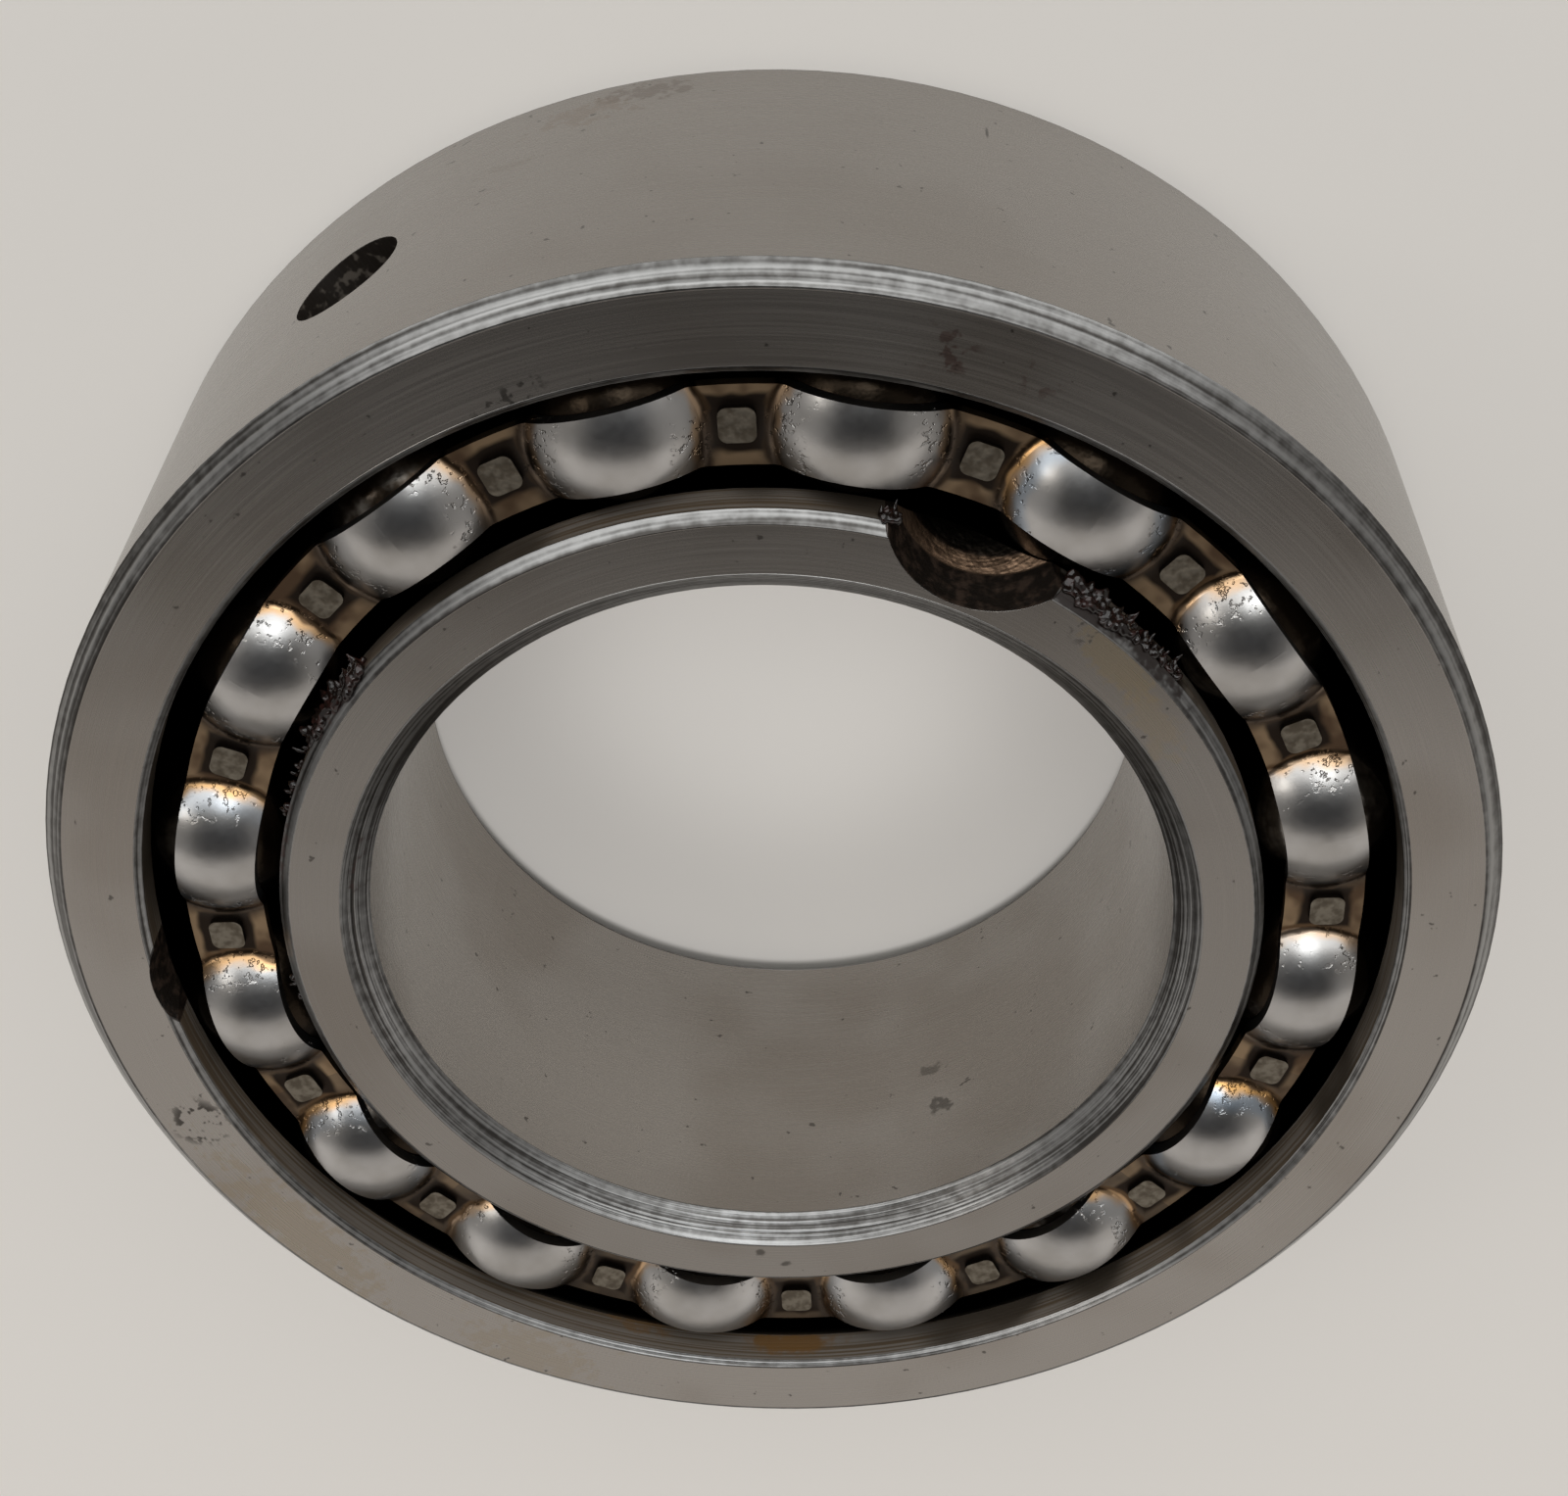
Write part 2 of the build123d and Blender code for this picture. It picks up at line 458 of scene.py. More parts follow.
def roughen(tree, shader, least, *additions):
    """A roughness that starts at its least and grows with each mask by its share."""
    roughness = least
    for mask, share in additions:
        roughness = sum_of(tree, "MULTIPLY_ADD", mask, share, roughness)
    feed(tree, shader.inputs["Roughness"], roughness)


def wear(material, *names):
    """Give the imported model's nodes of these names a material."""
    for name in names:
        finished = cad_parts[name]
        finished.data.materials.clear()
        finished.data.materials.append(material)


# %% [markdown]
# ## Ring steel
#
# Both rings are ground on their faces, bore and outside. The corner breaks were only turned,
# before hardening, so they are dark and ridged, and shine just where they face the light.
# Inside, by the balls, nothing was wiped: the shoulders carry brown oil. Deeper in, towards
# the grooves, the colour turns nearly black, which is painted shade of the narrow gap. Each
# zone could have a material of its own, but its faces would have to be found in a mesh that
# must stay as it is. So one material covers the ring, and a mask for each zone comes from
# radius and reach. The solid's circles are many-sided in its mesh, so each mask starts a
# little before its edge: exactly on it, the flat sides would show as a row of beads.

# %% Ring zones
OUTSIDE_BREAK, BORE_BREAK = 2.2 * MM, 3.0 * MM
INNER_SHOULDER, INNER_SHOULDER_BREAK = 57.8 * MM, 1.2 * MM
OUTER_SHOULDER, OUTER_SHOULDER_BREAK = 73.6 * MM, 0.7 * MM
SHOULDER_FOOT = half_width - 5.2 * MM
MID_OUTER_FACE = 78.0 * MM
SOFT, SPILL = 0.06 * MM, 0.14 * MM


def beyond(tree, value, edge):
    """1 from just before an edge onwards."""
    return fade(tree, value, edge - SPILL - SOFT, edge - SPILL + SOFT)


def zone_masks(tree, place, corner, lip, by_balls):
    """The turned breaks, the oily inside and its deep, painted-shade part, from a ring's own masks.
    """
    reach = place["Reach"]
    below_face = fade(tree, reach, half_width - 0.1 * MM, half_width - 0.4 * MM)
    inside = product(tree, by_balls, below_face, without(tree, lip))
    deep = fade(tree, reach, SHOULDER_FOOT, SHOULDER_FOOT - 3.0 * MM)
    return most_of(tree, corner, lip), inside, deep


def outer_ring_zones(tree, place):
    outward = sum_of(tree, "ADD", place["Radius"], place["Reach"])
    inward = sum_of(tree, "SUBTRACT", place["Reach"], place["Radius"])
    corner = beyond(tree, outward, outside_radius + half_width - OUTSIDE_BREAK)
    lip_foot = half_width - OUTER_SHOULDER_BREAK
    lip = product(
        tree,
        beyond(tree, inward, lip_foot - OUTER_SHOULDER),
        fade(tree, place["Reach"], lip_foot - SOFT, lip_foot),
    )
    by_balls = fade(tree, place["Radius"], MID_OUTER_FACE + 0.5 * MM, MID_OUTER_FACE)
    return zone_masks(tree, place, corner, lip, by_balls)


def inner_ring_zones(tree, place):
    outward = sum_of(tree, "ADD", place["Radius"], place["Reach"])
    inward = sum_of(tree, "SUBTRACT", place["Reach"], place["Radius"])
    corner = beyond(tree, inward, half_width - BORE_RADIUS - BORE_BREAK)
    lip = beyond(tree, outward, INNER_SHOULDER + half_width - INNER_SHOULDER_BREAK)
    break_end = BORE_RADIUS + BORE_BREAK
    by_balls = fade(tree, place["Radius"], break_end + 0.1 * MM, break_end + 0.4 * MM)
    return zone_masks(tree, place, corner, lip, by_balls)


print("the shoulders end", round(SHOULDER_FOOT / MM, 1), "mm from the middle plane")

# %% [markdown]
# ## Filling slots and the blind hole
#
# The balls went in through a tapered slot in each ring, and a pin once sat in the blind hole.
# These places were milled and never cleaned, so they are rough and dark brown. The slot's
# lip was polished by balls being pushed past it, and shows as a bronze line. Below the lip
# the slot is near black with painted shade, and the hole's inside is painted near black as
# shade, with lighter specks of grit that partly stand for painted glints. Each place is
# masked by the distance from its own axis, so that nothing spills onto the ground face.

# %% Milled places
SLOT_AXIS, SLOT_MOUTH = 63.0 * MM, 11.95 * MM
LIP_START, LIP_END, LIP_SOFT = 5.9 * MM, 7.6 * MM, 0.25 * MM
SLOT_END = 12 * MM
SLOT_ANGLES = {"outer": 332.8, "inner": 214.0}
HOLE_RADIUS, HOLE_FLOOR = 7.05 * MM, 72 * MM


def slot_masks(tree, place, degrees_round):
    """The slot at an angle: all that lies in it, its lip, and what is below the lip."""
    angle = radians(degrees_round)
    radius = place["Radius"]
    along = product(tree, place["Cosine"], cos(angle)), product(tree, place["Sine"], sin(angle))
    towards = sum_of(tree, "ADD", *along)
    squares = sum_of(tree, "MULTIPLY_ADD", radius, radius, SLOT_AXIS**2)
    square = sum_of(tree, "SUBTRACT", squares, product(tree, radius, towards, 2 * SLOT_AXIS))
    near = fade(tree, square, (SLOT_MOUTH + SOFT) ** 2, (SLOT_MOUTH - SOFT) ** 2)
    depth = sum_of(tree, "SUBTRACT", width, place["Height"])
    below_face = fade(tree, depth, 0.02 * MM, 0.12 * MM)
    cut = product(tree, near, below_face, fade(tree, depth, SLOT_END + 1 * MM, SLOT_END))
    lip = band(tree, depth, LIP_START, LIP_END, LIP_SOFT)
    return cut, lip, fade(tree, depth, LIP_END, LIP_END + 0.8 * MM)


def hole_mask(tree, place):
    """Inside the blind hole, whose axis points along -Y at mid width."""
    split = node(tree, "ShaderNodeSeparateXYZ", {"Vector": place["Point"]}).outputs
    reach = place["Reach"]
    square = sum_of(tree, "ADD", product(tree, split["X"], split["X"]), product(tree, reach, reach))
    near = fade(tree, square, (HOLE_RADIUS + SOFT) ** 2, (HOLE_RADIUS - SOFT) ** 2)
    below = fade(tree, place["Radius"], outside_radius - 0.03 * MM, outside_radius - 0.1 * MM)
    return product(tree, near, below, fade(tree, split["Y"], 2 * MM - HOLE_FLOOR, -HOLE_FLOOR))


print("the slots reach", round(SLOT_MOUTH / MM, 2), "mm from their axes")

# %% [markdown]
# ## Stains and nicks
#
# A used bearing is known by its marks. Each one below is a patch at its own place, with a
# colour and a strength. A picture of stains would do it in one step, but could not be
# changed stain by stain. The small reddish marks on the front face are drawn as loose rust
# specks. The grease keeps off the faces, which were wiped.

# %% Ring marks
TEA_STAIN, TEA_FAINT = (0.30, 0.245, 0.17, 1), (0.31, 0.26, 0.19, 1)
RUB_DARK, RUB_MIDDLE = (0.14, 0.11, 0.09, 1), (0.22, 0.17, 0.13, 1)
RUB_FAINT = (0.22, 0.19, 0.16, 1)
OIL_STAIN, OIL_STAIN_FAINT = (0.30, 0.24, 0.145, 1), (0.31, 0.255, 0.175, 1)
RUST_GOLD, RUST_RED = (0.17, 0.088, 0.028, 1), (0.12, 0.055, 0.045, 1)
PIT_DARK = (0.05, 0.045, 0.04, 1)
GREASE, GREASE_RED = (0.016, 0.010, 0.008, 1), (0.040, 0.013, 0.009, 1)


def patch(tree, clouds, centre, size, ragged=2.0):
    """The mask of one patch, whose centre and size are in millimetres."""
    metres = {"Centre": [v * MM for v in centre], "Size": [v * MM for v in size]}
    return use(tree, PATCH, {**metres, "Clouds": clouds, "Ragged": ragged})["Patch"]


OUTER_MARKS = {
    # centre and size in millimetres, raggedness, colour, strength
    "stains": (
        ((79.0, 8.0, 55.6), (5.0, 16.0, 2.0), 3.0, TEA_STAIN, 0.45),
        ((70.0, 44.0, 55.6), (9.0, 10.0, 2.0), 3.0, TEA_FAINT, 0.40),
        ((-33.7, -78.0, 5.5), (4.5, 3.5, 2.6), 4.0, RUB_DARK, 0.5),
        ((-27.5, -80.4, 8.7), (6.0, 3.0, 3.0), 4.0, RUB_MIDDLE, 0.4),
        ((-19.6, -82.7, 18.4), (3.0, 3.0, 1.5), 4.0, RUB_FAINT, 0.3),
        ((-64.5, -55.4, 12.4), (0.22, 0.22, 1.7), 0.3, PIT_DARK, 0.85),
    ),
    # centre and size, colour, strength
    "speckled": (
        ((-57.6, -53.1, 55.6), (4.2, 4.2, 1.0), RUST_RED, 0.6),
        ((-63.2, -46.3, 55.6), (2.8, 2.8, 1.0), RUST_RED, 0.45),
        ((76.5, -14.5, 55.6), (3.6, 3.6, 1.0), PIT_DARK, 0.9),
        ((-17.5, -73.0, 55.6), (4.0, 1.4, 1.0), PIT_DARK, 0.7),
    ),
    "grease": (
        ((37.6, 61.8, 51.8), (8.0, 5.5, 2.1), 1.2, RUST_GOLD, 0.9),
        ((54.0, 49.0, 50.5), (4.0, 4.0, 2.0), 3.0, RUST_GOLD, 0.5),
    ),
}
INNER_MARKS = {
    "stains": (
        ((-53.6, -13.1, 55.6), (2.6, 6.5, 1.0), 2.0, OIL_STAIN, 0.5),
        ((-53.0, -3.8, 55.6), (2.6, 5.5, 1.0), 2.5, OIL_STAIN_FAINT, 0.4),
        ((6.0, 47.1, 29.7), (1.6, 1.2, 0.8), 4.0, PIT_DARK, 0.5),
        ((4.8, 47.3, 37.2), (1.2, 1.2, 1.7), 4.0, PIT_DARK, 0.65),
        ((30.0, 42.4, 55.6), (0.7, 0.7, 0.5), 2.0, PIT_DARK, 0.7),
        ((28.1, 46.0, 55.6), (0.8, 0.6, 0.5), 2.0, PIT_DARK, 0.7),
    ),
    "speckled": (((-54.0, -18.0, 55.6), (3.5, 3.5, 1.0), PIT_DARK, 0.6),),
    "grease": (
        ((-54.5, -21.0, 53.6), (5.6, 7.5, 4.0), 1.0, GREASE, 0.98),
        ((-57.2, -11.5, 53.4), (3.4, 9.0, 3.4), 2.0, GREASE, 0.95),
        ((22.5, -52.8, 52.6), (7.5, 5.0, 2.4), 1.5, GREASE_RED, 0.97),
        ((40.0, -41.6, 53.4), (8.0, 8.0, 1.8), 3.0, GREASE_RED, 0.7),
    ),
}
kinds = [*OUTER_MARKS.values(), *INNER_MARKS.values()]
print("the rings have", sum(len(kind) for kind in kinds), "marks")

# %% [markdown]
# ## Putting the ring finish together
#
# The colours are laid over each other in the order in which they came about: grinding,
# stains and specks first, then the turned breaks, then oil and grease, and the milled places
# last. Painted shade comes in among them: a darker inner face with the grinding, near black
# deep in the gap with the oil, and near black below the slot's lip and in the hole with the
# milled places. Bare steel is metal, but an oil film scatters light as paint does, so the
# film is mostly not metal. The bump has three heights: the wheel's fine lines, the lathe's
# ridges on the corner breaks, and the torn grain in the slots.

# %% Ring finishes
GROUND, GROUND_DULL = (0.345, 0.322, 0.297, 1), (0.295, 0.268, 0.240, 1)
GROUND_KEEN, OUTSIDE_GROUND = (0.44, 0.42, 0.395, 1), (0.27, 0.252, 0.234, 1)
TURNED_DARK, TURNED_KEEN = (0.060, 0.056, 0.052, 1), (0.31, 0.308, 0.302, 1)
OILED_SHOULDER, OIL_BROWN = (0.19, 0.168, 0.145, 1), (0.11, 0.080, 0.052, 1)
# The second colour here is near-black painted shade, for deep in the gap and below the slot's lip.
OIL_THICK, DEEP_PAINTED_SHADE = (0.05, 0.04, 0.03, 1), (0.018, 0.015, 0.012, 1)
SLOT_BLACK, SLOT_BROWN = (0.012, 0.009, 0.007, 1), (0.045, 0.030, 0.022, 1)
SLOT_BRONZE = (0.24, 0.155, 0.10, 1)
# The hole's inside is painted near black as shade, with lighter grit specks partly as painted
# glints.
HOLE_PAINTED_SHADE, HOLE_GRIT_AND_GLINTS = (0.018, 0.014, 0.011, 1), (0.10, 0.085, 0.07, 1)
BLACK = (0, 0, 0, 1)
RING_CLOUDS, RING_GRAIN = 34.0, 620.0
WHEEL_LINES = {"Lines per metre": 4200.0, "Height share": 1.2, "Wander": 3.0}
LATHE_RIDGES = {"Lines per metre": 1000.0, "Height share": 3.0, "Wander": 1.2}
LINE_DEPTH, RIDGE_DEPTH, MILLED_DEPTH = 0.002 * MM, 0.10 * MM, 0.16 * MM
RING_ROUGHNESS = 0.20


def marked_steel(tree, colour, clouds, grain, marks):
    """Stains and specks on a ground surface, and the pits that lie all over it."""
    for centre, size, ragged, shade, amount in marks["stains"]:
        mask = patch(tree, grain, centre, size, ragged)
        colour = lay_over(tree, product(tree, mask, amount), colour, shade)
    dots = fade(tree, grain, 0.53, 0.60)
    for centre, size, shade, amount in marks["speckled"]:
        mask = product(tree, patch(tree, clouds, centre, size), dots, amount)
        colour = lay_over(tree, mask, colour, shade)
    return lay_over(tree, product(tree, fade(tree, grain, 0.71, 0.75), 0.7), colour, PIT_DARK)


def ring_steel(name, zones, slot_angle, marks, face_painted_shade=0.0, blind_hole=False):
    """Ground steel with ridged corner breaks, an oily inside, milled places, marks and painted
    shade.
    """
    material, tree, shader = start_material(name)
    place = use(tree, PLACE)
    clouds = use(tree, CLOUDS, {"Scale": RING_CLOUDS})["Clouds"]
    grain = use(tree, CLOUDS, {"Scale": RING_GRAIN})["Clouds"]
    fine = use(tree, TURNED_LINES, WHEEL_LINES)["Lines"]
    ridges = use(tree, TURNED_LINES, LATHE_RIDGES)["Lines"]
    turned, inside, deep = zones(tree, place)

    outside = fade(tree, place["Radius"], outside_radius - 0.4 * MM, outside_radius - 0.1 * MM)
    on_face = fade(tree, place["Reach"], half_width - 0.07 * MM, half_width - 0.02 * MM)
    colour = lay_over(tree, fade(tree, clouds, 0.42, 0.66), GROUND, GROUND_DULL)
    colour = lay_over(tree, product(tree, outside, 0.6), colour, OUTSIDE_GROUND)
    keen = product(tree, fade(tree, fine, 0.45, 0.80), 0.15)
    colour = lay_over(tree, keen, colour, GROUND_KEEN)
    # The face may be laid towards black by a share, as painted shade.
    colour = lay_over(tree, product(tree, on_face, face_painted_shade), colour, BLACK)
    colour = marked_steel(tree, colour, clouds, grain, marks)

    ridged = fade(tree, sum_of(tree, "MULTIPLY_ADD", grain, 0.3, ridges), 0.45, 0.85)
    colour = lay_over(tree, turned, colour, lay_over(tree, ridged, TURNED_DARK, TURNED_KEEN))
    shoulder = lay_over(tree, fade(tree, ridges, 0.38, 0.62), OILED_SHOULDER, OIL_BROWN)
    shoulder = lay_over(tree, fade(tree, clouds, 0.50, 0.62), shoulder, OIL_THICK)
    # Deep in the gap, towards the middle plane, the oil gives way to painted shade.
    colour = lay_over(tree, inside, colour, lay_over(tree, deep, shoulder, DEEP_PAINTED_SHADE))
    dirty, off_face = inside, without(tree, on_face)
    for centre, size, ragged, shade, amount in marks["grease"]:
        mask = product(tree, patch(tree, grain, centre, size, ragged), off_face, amount)
        colour = lay_over(tree, mask, colour, shade)
        dirty = most_of(tree, dirty, mask)

    cut, lip, below = slot_masks(tree, place, slot_angle)
    milled = lay_over(tree, fade(tree, grain, 0.42, 0.68), SLOT_BLACK, SLOT_BROWN)
    milled = lay_over(tree, lip, milled, SLOT_BRONZE)
    # Below the slot's lip the milled wall gives way to painted shade.
    colour = lay_over(tree, cut, colour, lay_over(tree, below, milled, DEEP_PAINTED_SHADE))
    dirty = most_of(tree, dirty, cut)
    if blind_hole:
        # Inside the blind hole: painted shade, with grit specks that partly stand for glints.
        hole = hole_mask(tree, place)
        crumbs = lay_over(tree, fade(tree, grain, 0.52, 0.66), HOLE_PAINTED_SHADE, HOLE_GRIT_AND_GLINTS)
        colour = lay_over(tree, hole, colour, crumbs)
        dirty = most_of(tree, dirty, hole)
    feed(tree, shader.inputs["Base Color"], colour)

    # black marks the places of painted shade, which stay metal.
    black = most_of(tree, product(tree, inside, deep), product(tree, cut, below))
    polished = sum_of(tree, "MULTIPLY_ADD", product(tree, cut, lip), -0.8, 1.0)
    filmed = product(tree, dirty, without(tree, black), polished)
    feed(tree, shader.inputs["Metallic"], sum_of(tree, "MULTIPLY_ADD", filmed, -0.75, 1.0))
    roughen(tree, shader, RING_ROUGHNESS, (fine, 0.14), (most_of(tree, turned, dirty), 0.06))
    coarse = product(tree, ridges, most_of(tree, turned, product(tree, inside, 0.4)))
    torn = product(tree, grain, cut)
    relief(tree, shader, (fine, LINE_DEPTH), (coarse, RIDGE_DEPTH), (torn, MILLED_DEPTH))
    return material


outer_steel = ring_steel(
    "ground_outer_ring", outer_ring_zones, SLOT_ANGLES["outer"], OUTER_MARKS, blind_hole=True
)
# The inner ring's face is darkened by a fifth of black, as painted shade.
inner_steel = ring_steel(
    "ground_inner_ring", inner_ring_zones, SLOT_ANGLES["inner"], INNER_MARKS, face_painted_shade=0.2
)
wear(outer_steel, "outer_ring")
wear(inner_steel, "inner_ring")
print("the rings are ground and oiled")

# %% [markdown]
# ## Cage steel and its heat tint
#
# Each web was heated where the post's end was set in it. Steel that has been hot carries an
# oxide skin whose colour follows how hot it got: black beside the joint, brown over the web,
# then a straw line and a trace of blue where the dome starts. The web is mapped by the
# distance from its post, and the dome by the distance from its ball's axis, so that the
# straw line follows the curved foot of the dome as it does on the real sheet. A colour by
# height would be simpler, but would give every dome and web the same flat rings. A thin band
# of painted shade lies in the crease at each dome's foot. On every dome, the foot on its side
# towards the ring's low side is darkened with painted shade, and so are the webs on that side.

# %% Cage coordinates
PITCH_RADIUS = 65.7 * MM
STEP = 2 * pi / 16
BALL_PHASE = radians(2.98)
# The direction in the ring towards which painted shade darkens the dome feet and the webs.
LOW_SIDE = PICTURE_TURN - pi / 2


def about_ball(tree, place):
    """What a cage finish needs to know about a point.

    It gives the distance from the nearest ball's axis and from the nearest post, the ball's
    number, how far the point lies towards the low side of its ball, and whether the ball is
    low in the ring.
    """
    radius = place["Radius"]
    turned = sum_of(tree, "SUBTRACT", place["Angle"], BALL_PHASE - STEP / 2 - 4 * pi)
    local = sum_of(tree, "SUBTRACT", sum_of(tree, "FLOORED_MODULO", turned, STEP), STEP / 2)
    number = sum_of(tree, "FLOOR", sum_of(tree, "DIVIDE", turned, STEP))
    straight_out = product(tree, radius, sum_of(tree, "COSINE", local))
    out = sum_of(tree, "SUBTRACT", straight_out, PITCH_RADIUS)
    along = product(tree, radius, sum_of(tree, "SINE", local))
    squares = product(tree, out, out), product(tree, along, along)
    from_axis = sum_of(tree, "SQRT", sum_of(tree, "ADD", *squares))
    short_of_post = sum_of(tree, "SUBTRACT", STEP / 2, sum_of(tree, "ABSOLUTE", local))
    across = sum_of(tree, "ABSOLUTE", sum_of(tree, "SUBTRACT", radius, PITCH_RADIUS))
    from_post = most_of(tree, product(tree, radius, short_of_post), across)
    ball_angle = sum_of(tree, "SUBTRACT", place["Angle"], local)
    bearing = sum_of(tree, "SUBTRACT", ball_angle, LOW_SIDE)
    outward = product(tree, out, sum_of(tree, "COSINE", bearing))
    low = sum_of(tree, "SUBTRACT", outward, product(tree, along, sum_of(tree, "SINE", bearing)))
    low_in_ring = fade(tree, sum_of(tree, "COSINE", bearing), 0.2, 0.9)
    return from_axis, from_post, number, low, low_in_ring


print("sixteen balls,", round(STEP * PITCH_RADIUS / MM, 1), "mm apart round the ring")

# %% Cage finish
DOME_FOOT = 10.05 * MM
BARE_SHEET, BARE_SHEET_DULL = (0.46, 0.448, 0.435, 1), (0.375, 0.36, 0.34, 1)
WEB_BROWN, WEB_PATCHED = (0.33, 0.235, 0.145, 1), (0.125, 0.080, 0.050, 1)
# The second colour on the next line is painted shade for the webs on the ring's low side.
WEB_DARK, LOW_WEB_PAINTED_SHADE = (0.030, 0.022, 0.017, 1), (0.090, 0.076, 0.062, 1)
# The dark middle colour below is painted shade in the crease at each dome's foot; straw and blue
# are heat tint.
STRAW, FOOT_CREASE_SHADE, BLUE = (0.60, 0.31, 0.075, 1), (0.11, 0.068, 0.038, 1), (0.30, 0.36, 0.43, 1)
# Painted shade for the foot of each dome on its low side.
LOW_FOOT_PAINTED_SHADE = (0.060, 0.050, 0.042, 1)
CAGE_CLOUDS, CAGE_GRAIN = 190.0, 1300.0
UNEVENNESS = 3.0 * MM
DOME_ROUGHNESS, WEB_ROUGHNESS = 0.26, 0.43


def cage_colour(tree, clouds, place):
    """Domes of bare sheet with heat tint at their feet, brown webs, and painted shade on both."""
    from_axis, from_post, number, low, low_in_ring = about_ball(tree, place)
    dice = node(tree, "ShaderNodeTexWhiteNoise", {"W": number}, noise_dimensions="1D")
    own = dice.outputs["Value"]
    uneven = product(tree, sum_of(tree, "SUBTRACT", clouds, 0.5), UNEVENNESS)
    shifted = sum_of(tree, "ADD", from_axis, uneven)

    web = lay_over(tree, fade(tree, clouds, 0.40, 0.64), WEB_BROWN, WEB_PATCHED)
    # Webs on the low side of the ring are darkened with painted shade.
    web = lay_over(tree, product(tree, low_in_ring, 0.75), web, LOW_WEB_PAINTED_SHADE)
    rim = fade(tree, sum_of(tree, "MULTIPLY_ADD", uneven, 0.7, from_post), 3.5 * MM, 2.7 * MM)
    web = lay_over(tree, rim, web, WEB_DARK)
    colour = lay_over(tree, fade(tree, clouds, 0.3, 0.8), BARE_SHEET, BARE_SHEET_DULL)
    tinted = band(tree, shifted, DOME_FOOT - 3.2 * MM, DOME_FOOT - 1.6 * MM, 0.7 * MM)
    tinted = product(tree, tinted, fade(tree, own, 0.4, 0.9), 0.7)
    colour = lay_over(tree, tinted, colour, BLUE)
    straw = fade(tree, shifted, DOME_FOOT - 1.9 * MM, DOME_FOOT - 0.9 * MM)
    straw = product(tree, straw, sum_of(tree, "MULTIPLY_ADD", own, 0.5, 0.4))
    colour = lay_over(tree, straw, colour, STRAW)
    # A dark band right at the dome's foot is painted shade in the crease between dome and web.
    crease_shade = fade(tree, shifted, DOME_FOOT - 0.9 * MM, DOME_FOOT - 0.4 * MM)
    colour = lay_over(tree, crease_shade, colour, FOOT_CREASE_SHADE)
    on_web = fade(tree, shifted, DOME_FOOT - 0.2 * MM, DOME_FOOT + 0.4 * MM)
    colour = lay_over(tree, on_web, colour, web)
    # The foot on each dome's low side is darkened with painted shade.
    low_side = fade(tree, low, -6.0 * MM, 1.0 * MM)
    oiled = band(tree, from_axis, DOME_FOOT - 1.6 * MM, DOME_FOOT + 0.5 * MM, 1.1 * MM)
    colour = lay_over(tree, product(tree, low_side, oiled, 0.85), colour, LOW_FOOT_PAINTED_SHADE)
    return colour, on_web, from_axis


def cage_steel(name):
    """Pressed sheet with a fine grain, and pits in some of the feet of its domes."""
    material, tree, shader = start_material(name)
    clouds = use(tree, CLOUDS, {"Scale": CAGE_CLOUDS})["Clouds"]
    grain = use(tree, CLOUDS, {"Scale": CAGE_GRAIN})["Clouds"]
    colour, on_web, from_axis = cage_colour(tree, clouds, use(tree, PLACE))
    feed(tree, shader.inputs["Base Color"], colour)
    web_extra = WEB_ROUGHNESS - DOME_ROUGHNESS
    roughen(tree, shader, DOME_ROUGHNESS, (on_web, web_extra), (grain, 0.06))
    near_foot = band(tree, from_axis, DOME_FOOT - 3.5 * MM, DOME_FOOT - 0.5 * MM, 1.2 * MM)
    pitted = fade(tree, grain, 0.56, 0.66), near_foot, fade(tree, clouds, 0.42, 0.55)
    pits = product(tree, *pitted)
    relief(tree, shader, (grain, 0.006 * MM), (clouds, 0.03 * MM), (pits, -0.12 * MM))
    return material


wear(cage_steel("tinted_cage_sheet"), "front_cage_cover", "rear_cage_cover")
print("the cages are tinted")

# %% [markdown]
# ## Post ends and balls
#
# The post's end stands just proud of the web. Its top was struck flat and looks like grey
# stone, and its sides hold the black of the joint. The top is told from the sides by its
# reach, so no face has to be picked by hand. The balls are mirror steel, but what can be
# seen of them through the gap is dark. A clean mirror would glitter there, so a dark film
# from the clouds covers each ball and leaves only a part of it bright. The film stands
# partly for old oil and partly for painted shade in the narrow gap.

# %% Post ends
STRUCK, STRUCK_DULL = (0.225, 0.20, 0.16, 1), (0.125, 0.105, 0.080, 1)
JOINT_BLACK = (0.03, 0.023, 0.018, 1)

post_steel, tree, shader = start_material("post_end_steel")
grain = use(tree, CLOUDS, {"Scale": 700.0})["Clouds"]
post_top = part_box("front_cage_body")[1].z - half_width
top = fade(tree, use(tree, PLACE)["Reach"], post_top - 0.12 * MM, post_top - 0.04 * MM)
struck = lay_over(tree, fade(tree, grain, 0.35, 0.65), STRUCK, STRUCK_DULL)
feed(tree, shader.inputs["Base Color"], lay_over(tree, top, JOINT_BLACK, struck))
roughen(tree, shader, 0.38, (grain, 0.15))
relief(tree, shader, (grain, 0.10 * MM))
wear(post_steel, "front_cage_body", "rear_cage_body")
print("the posts stand", round(post_top / MM, 1), "mm from the middle plane")

# %% Balls
BALL_BRIGHT, BALL_OIL_AND_SHADE = (0.20, 0.185, 0.165, 1), (0.022, 0.016, 0.011, 1)

ball_steel, tree, shader = start_material("oiled_and_shaded_ball_steel")
clouds = use(tree, CLOUDS, {"Scale": 75.0})["Clouds"]
grain = use(tree, CLOUDS, {"Scale": 600.0})["Clouds"]
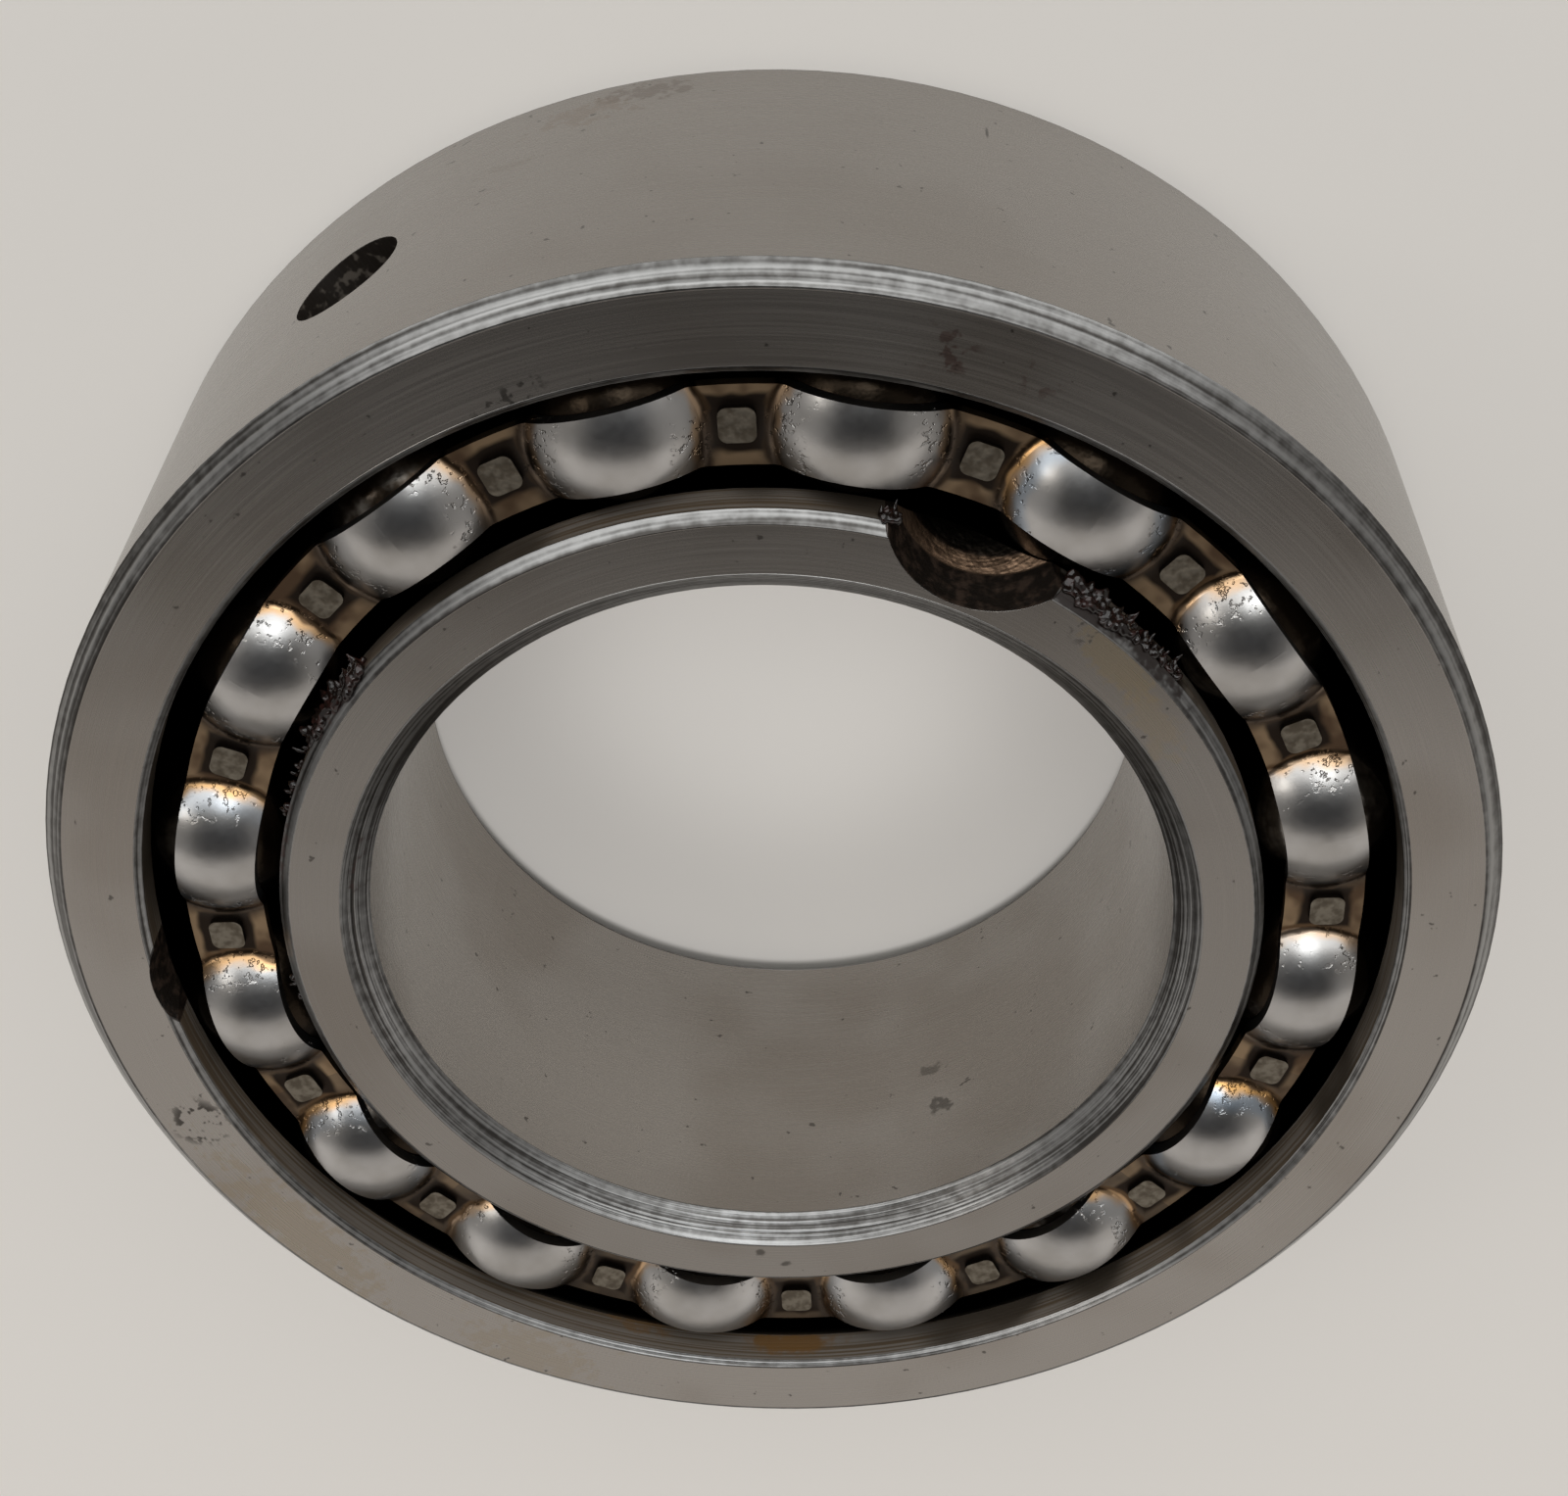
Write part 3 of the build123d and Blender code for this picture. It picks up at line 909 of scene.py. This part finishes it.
# This film is partly old oil and partly painted shade of the narrow gap.
oil_and_shade = fade(tree, sum_of(tree, "MULTIPLY_ADD", grain, 0.3, clouds), 0.92, 0.72)
feed(tree, shader.inputs["Base Color"], lay_over(tree, oil_and_shade, BALL_BRIGHT, BALL_OIL_AND_SHADE))
roughen(tree, shader, 0.12, (oil_and_shade, 0.14))
relief(tree, shader, (product(tree, oil_and_shade, grain), 0.07 * MM))
balls = [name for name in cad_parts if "_ball_" in name]
wear(ball_steel, *balls)
print("finished", len(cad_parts), "nodes,", len(balls), "of them balls")

# %% [markdown]
# ## Grease lumps
#
# Old grease has been pressed out of the gap and sits on the inner ring's edge as wet, dark
# lumps, most of them beside the filling slot and on the left. One crumb is an icosphere
# whose points are pushed about. Copies of it are turned, sized and half sunk into the
# shoulder, in clusters where the photo shows them, and some are drawn out towards the cage
# without reaching it. Loose copies would look like beads, and grease runs together, so they
# are joined and melted into lumps: a voxel remesh gives them one skin, and a smoothing
# rounds it. The lumps turn with the inner ring.

# %% One crumb
CRUMB_RADIUS = 0.6 * MM
bpy.ops.object.select_all(action="DESELECT")
bpy.ops.mesh.primitive_ico_sphere_add(subdivisions=2, radius=CRUMB_RADIUS, location=(0, 0, 0))
crumb = bpy.context.object
bpy.ops.object.mode_set(mode="EDIT")
bpy.ops.transform.vertex_random(offset=0.30 * CRUMB_RADIUS, uniform=0.4, normal=0.6, seed=3)
bpy.ops.mesh.vertices_smooth(factor=0.3, repeat=1)
bpy.ops.object.mode_set(mode="OBJECT")
bpy.ops.object.shade_smooth()
print("one crumb has", len(crumb.data.polygons), "faces")

# %% Clusters of crumbs
CLUSTERS = (
    # from angle, to angle, lowest and highest in mm from mid width, crumbs, size
    (286.5, 293.0, 24.6, 27.0, 46, 1.1),
    (292.0, 299.0, 24.4, 26.4, 36, 1.1),
    (298.0, 311.0, 24.4, 25.6, 16, 0.9),
    (333.0, 338.0, 24.5, 26.4, 7, 0.9),
    (194.0, 203.6, 24.6, 27.1, 64, 1.1),
    (186.0, 195.0, 24.4, 26.6, 26, 1.0),
    (222.6, 225.0, 25.0, 26.8, 12, 0.9),
)
# steps that go round between 0 and 1 without soon coming back to the same place
GOLDEN, SIZE_STEP, LEAN_STEP = 0.618034, 0.753, 0.41
LONGEST_LEAN, ROOM_TO_CAGE = 2.0, 2.5
TUMBLE_STEP, TUMBLE_AXIS = 1.3, (0.6, 0.5, 0.62)


def placed_crumb(angle, reach, scale, lean, turn, drawn):
    """A copy of the crumb on the shoulder, tumbled and drawn, and then drawn out by its lean.

    Its reach from mid width and its lean towards the cage are in millimetres. Where it lies
    beyond the shoulder, it follows the slope of the corner break.
    """
    copy = crumb.copy()
    copy.data = crumb.data.copy()
    bpy.context.scene.collection.objects.link(copy)
    break_start = (half_width - INNER_SHOULDER_BREAK) / MM
    surface = INNER_SHOULDER / MM + min(0.0, break_start - reach)
    out = (surface + 0.04 * scale + lean / 2) * MM
    spot = Vector((out * cos(angle), out * sin(angle), half_width + reach * MM))
    stretch = Matrix.Diagonal((scale * 0.8, scale * drawn, scale, 1))
    outwards = Matrix.Diagonal((1 + lean * MM / (2 * CRUMB_RADIUS * scale), 1, 1, 1))
    place_in_ring = Matrix.Translation(spot) @ Matrix.Rotation(angle, 4, "Z")
    copy.data.transform(place_in_ring @ outwards @ Matrix.Rotation(turn, 4, TUMBLE_AXIS) @ stretch)
    return copy


copies = []
for start, end, low, high, count, size in CLUSTERS:
    for index in range(count):
        spread = (index * GOLDEN + 0.37 * len(copies)) % 1
        rise = (index * GOLDEN**2 * 1.7 + 0.11 * index) % 1
        angle = radians(start + (end - start) * (index + 0.8 * spread) / count)
        scale = size * (0.55 + 0.85 * ((index * SIZE_STEP) % 1) ** 2)
        lean = LONGEST_LEAN * ((index * LEAN_STEP + 0.2) % 1) * (1 - rise)
        lean = max(0.0, min(lean, ROOM_TO_CAGE - 1.1 * scale))
        reach = low + (high - low) * rise
        turn, drawn = index * TUMBLE_STEP, 1.0 + 0.4 * spread
        copies.append(placed_crumb(angle, reach, scale, lean, turn, drawn))
print(len(copies), "crumbs in", len(CLUSTERS), "clusters")

# %% Melt the crumbs together
VOXEL_SIZE = 0.2 * MM

bpy.ops.object.select_all(action="DESELECT")
for copy in copies:
    copy.select_set(True)
bpy.context.view_layer.objects.active = copies[0]
bpy.ops.object.join()
grease_lumps = bpy.context.object
grease_lumps.name = "grease_lumps"
bpy.data.objects.remove(crumb)
melted = grease_lumps.modifiers.new("one_skin", "REMESH")
melted.mode, melted.voxel_size, melted.use_smooth_shade = "VOXEL", VOXEL_SIZE, True
rounded = grease_lumps.modifiers.new("rounded", "SMOOTH")
rounded.factor, rounded.iterations = 0.5, 2
for modifier in (melted.name, rounded.name):
    bpy.ops.object.modifier_apply(modifier=modifier)
print("the grease lumps have", len(grease_lumps.data.polygons), "faces")

# %% Grease finish
GREASE_DARK, GREASE_BROWN = (0.008, 0.005, 0.004, 1), (0.026, 0.010, 0.008, 1)

wet_grease, tree, shader = start_material("wet_brown_grease", metallic=0.0)
grain = use(tree, CLOUDS, {"Scale": 900.0})["Clouds"]
shade = lay_over(tree, fade(tree, grain, 0.46, 0.70), GREASE_DARK, GREASE_BROWN)
feed(tree, shader.inputs["Base Color"], shade)
roughen(tree, shader, 0.04, (grain, 0.12))
relief(tree, shader, (grain, 0.05 * MM))
grease_lumps.data.materials.append(wet_grease)
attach(grease_lumps, "inner_ring")
print("the grease rides on the inner ring")
